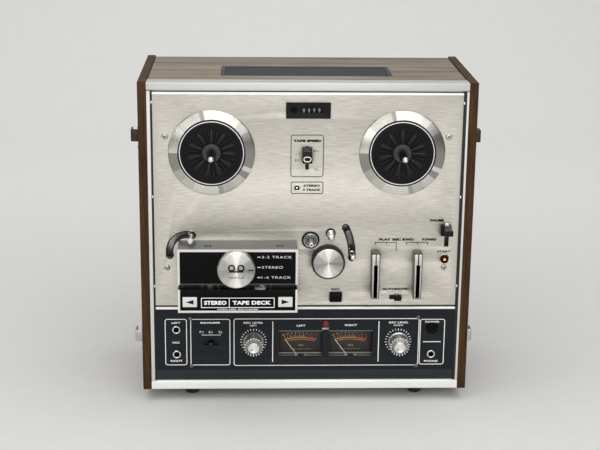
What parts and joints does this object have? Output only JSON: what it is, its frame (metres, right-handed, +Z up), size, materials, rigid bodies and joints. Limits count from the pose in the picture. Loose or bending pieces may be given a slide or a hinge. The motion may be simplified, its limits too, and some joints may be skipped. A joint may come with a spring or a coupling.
{
  "type": "reel to reel tape deck",
  "caption": "Upright open-reel tape deck: wooden cabinet, brushed deck panel with reel tables, head cover, capstan and levers above a dark level-meter panel.",
  "frame": {"origin": "on the floor plane under the middle of the whole object's bounding box", "axes": "+X to the viewer's right along the front, +Y from the front panels to the back, +Z up"},
  "size_m": [0.431, 0.249, 0.409],
  "materials": {
    "walnut": "satin",
    "slate": "satin",
    "trim_silver": "satin",
    "black_rubber": "matte",
    "brushed_aluminium": "brushed",
    "steel": "satin",
    "spun_aluminium": "spun",
    "motor_paint": "satin",
    "chrome": "polished",
    "black_plastic": "satin",
    "meter_brown": "satin",
    "pale_needle": "satin",
    "digit_white": "satin",
    "circuit_board": "matte"
  },
  "bodies": {
    "cabinet": {"side_panel_left": "walnut", "side_panel_right": "walnut", "top_panel": "walnut", "bottom_panel": "walnut", "rear_cover": "slate", "vent_grille": "slate", "trim_top": "trim_silver", "trim_bottom": "trim_silver", "trim_left": "trim_silver", "trim_right": "trim_silver", "foot_front_left": "black_rubber", "foot_front_right": "black_rubber", "foot_back_left": "black_rubber", "foot_back_right": "black_rubber", "deck_panel": "brushed_aluminium", "amplifier_panel": "slate", "chassis_plate": "steel", "reel_ring_left": "spun_aluminium", "reel_ring_right": "spun_aluminium", "reel_motor_left": "motor_paint", "reel_motor_right": "motor_paint", "capstan_motor": "motor_paint", "drive_belt": "black_rubber", "capstan_bearing": "chrome", "head_cover_upper": "black_plastic", "head_cover_lower": "black_plastic", "head_block": "steel", "counter_housing": "black_plastic", "vu_meter_left": "meter_brown", "vu_meter_right": "meter_brown", "catch_upper_left": "chrome", "catch_lower_left": "chrome", "catch_upper_right": "chrome", "catch_lower_right": "chrome", "power_transformer": "motor_paint", "circuit_board": "circuit_board"},
    "reel_left": {"reel_table_left": "black_plastic"},
    "reel_right": {"reel_table_right": "black_plastic"},
    "capstan": {"capstan_flywheel": "steel"},
    "motor_pulley": {"motor_pulley": "steel"},
    "pinch_arm": {"pinch_arm": "steel"},
    "pinch_roller": {"pinch_roller": "black_rubber"},
    "tension_arm_left": {"tension_arm_left": "chrome"},
    "tension_arm_right": {"tension_arm_right": "chrome"},
    "track_knob": {"track_knob": "spun_aluminium"},
    "counter_wheels": {"counter_wheels": "digit_white"},
    "counter_reset_button": {"counter_reset_button": "black_plastic"},
    "speed_knob": {"speed_knob": "black_plastic"},
    "play_lever": {"play_lever": "chrome"},
    "wind_lever": {"wind_lever": "chrome"},
    "auto_stop_knob": {"auto_stop_knob": "black_plastic"},
    "pause_knob": {"pause_knob": "black_plastic"},
    "start_button": {"start_button": "black_plastic"},
    "rec_button": {"rec_button": "black_plastic"},
    "eq_knob": {"eq_knob": "black_plastic"},
    "level_knob_left": {"level_knob_left": "spun_aluminium"},
    "level_knob_right": {"level_knob_right": "spun_aluminium"},
    "power_button": {"power_button": "black_plastic"},
    "vu_needle_left": {"vu_needle_left": "pale_needle"},
    "vu_needle_right": {"vu_needle_right": "pale_needle"}
  },
  "joints": [
    {"name": "reel_left_spin", "type": "hinge", "parent": "cabinet", "child": "reel_left", "pos_m": [-0.1158, -0.0715, 0.323], "axis": [0, -1, 0], "continuous": true},
    {"name": "reel_right_spin", "type": "hinge", "parent": "cabinet", "child": "reel_right", "pos_m": [0.114, -0.0715, 0.323], "axis": [0, -1, 0], "continuous": true},
    {"name": "capstan_spin", "type": "hinge", "parent": "cabinet", "child": "capstan", "pos_m": [0.0047, -0.0715, 0.2135], "axis": [0, -1, 0], "continuous": true},
    {"name": "motor_pulley_spin", "type": "hinge", "parent": "cabinet", "child": "motor_pulley", "pos_m": [-0.07, -0.0315, 0.197], "axis": [0, -1, 0], "continuous": true},
    {"name": "pinch_arm_pivot", "type": "hinge", "parent": "cabinet", "child": "pinch_arm", "pos_m": [-0.0081, -0.0655, 0.1592], "axis": [0, -1, 0], "range_deg": [0, 11.7]},
    {"name": "pinch_roller_spin", "type": "hinge", "parent": "pinch_arm", "child": "pinch_roller", "pos_m": [0.0261, -0.0815, 0.1885], "axis": [0, -1, 0], "continuous": true},
    {"name": "tension_arm_left_pivot", "type": "hinge", "parent": "cabinet", "child": "tension_arm_left", "pos_m": [-0.1465, -0.0605, 0.199], "axis": [0, -1, 0], "range_deg": [0, 112], "stiffness_Nm_per_rad": 0.15},
    {"name": "tension_arm_right_pivot", "type": "hinge", "parent": "cabinet", "child": "tension_arm_right", "pos_m": [-0.022, -0.0605, 0.1944], "axis": [0, -1, 0], "range_deg": [0, 24], "stiffness_Nm_per_rad": 0.6},
    {"name": "track_knob_turn", "type": "hinge", "parent": "cabinet", "child": "track_knob", "pos_m": [-0.086, -0.1185, 0.1915], "axis": [0, -1, 0], "range_deg": [-25.5, 25.5]},
    {"name": "counter_wheels_spin", "type": "hinge", "parent": "cabinet", "child": "counter_wheels", "pos_m": [0.004, -0.062, 0.375], "axis": [1, 0, 0], "continuous": true},
    {"name": "play_lever_turn", "type": "hinge", "parent": "cabinet", "child": "play_lever", "pos_m": [0.0841, -0.0715, 0.151], "axis": [0, 1, 0], "range_deg": [0, 24]},
    {"name": "wind_lever_turn", "type": "hinge", "parent": "cabinet", "child": "wind_lever", "pos_m": [0.136, -0.0715, 0.151], "axis": [0, 1, 0], "range_deg": [-13, 13]},
    {"name": "level_knob_left_turn", "type": "hinge", "parent": "cabinet", "child": "level_knob_left", "pos_m": [-0.065, -0.0815, 0.0813], "axis": [0, 1, 0], "range_deg": [0, 300]},
    {"name": "level_knob_right_turn", "type": "hinge", "parent": "cabinet", "child": "level_knob_right", "pos_m": [0.1163, -0.0815, 0.0813], "axis": [0, 1, 0], "range_deg": [0, 300]},
    {"name": "vu_needle_left_swing", "type": "hinge", "parent": "cabinet", "child": "vu_needle_left", "pos_m": [-0.00585, -0.064, 0.0543], "axis": [0, 1, 0], "range_deg": [0, 73]},
    {"name": "vu_needle_right_swing", "type": "hinge", "parent": "cabinet", "child": "vu_needle_right", "pos_m": [0.0569, -0.064, 0.0543], "axis": [0, 1, 0], "range_deg": [0, 73]},
    {"name": "counter_reset_push", "type": "slide", "parent": "cabinet", "child": "counter_reset_button", "axis": [0, 1, 0], "range_m": [0, 0.002], "stiffness_N_per_m": 150},
    {"name": "speed_slide", "type": "slide", "parent": "cabinet", "child": "speed_knob", "axis": [0, 0, 1], "range_m": [-0.016, 0]},
    {"name": "auto_stop_slide", "type": "slide", "parent": "cabinet", "child": "auto_stop_knob", "axis": [1, 0, 0], "range_m": [-0.006, 0]},
    {"name": "pause_slide", "type": "slide", "parent": "cabinet", "child": "pause_knob", "axis": [0, 0, 1], "range_m": [-0.014, 0]},
    {"name": "start_push", "type": "slide", "parent": "cabinet", "child": "start_button", "axis": [0, 1, 0], "range_m": [0, 0.0025], "stiffness_N_per_m": 200},
    {"name": "rec_push", "type": "slide", "parent": "cabinet", "child": "rec_button", "axis": [0, 1, 0], "range_m": [0, 0.003], "stiffness_N_per_m": 200},
    {"name": "eq_slide", "type": "slide", "parent": "cabinet", "child": "eq_knob", "axis": [1, 0, 0], "range_m": [-0.005, 0.005]},
    {"name": "power_push", "type": "slide", "parent": "cabinet", "child": "power_button", "axis": [0, 1, 0], "range_m": [0, 0.003], "stiffness_N_per_m": 250}
  ],
  "couplings": [
    {"joint": "motor_pulley_spin", "follows": "capstan_spin", "ratio": 5},
    {"joint": "counter_wheels_spin", "follows": "reel_right_spin", "ratio": -0.1},
    {"joint": "pinch_arm_pivot", "follows": "play_lever_turn", "ratio": 0.48333}
  ]
}
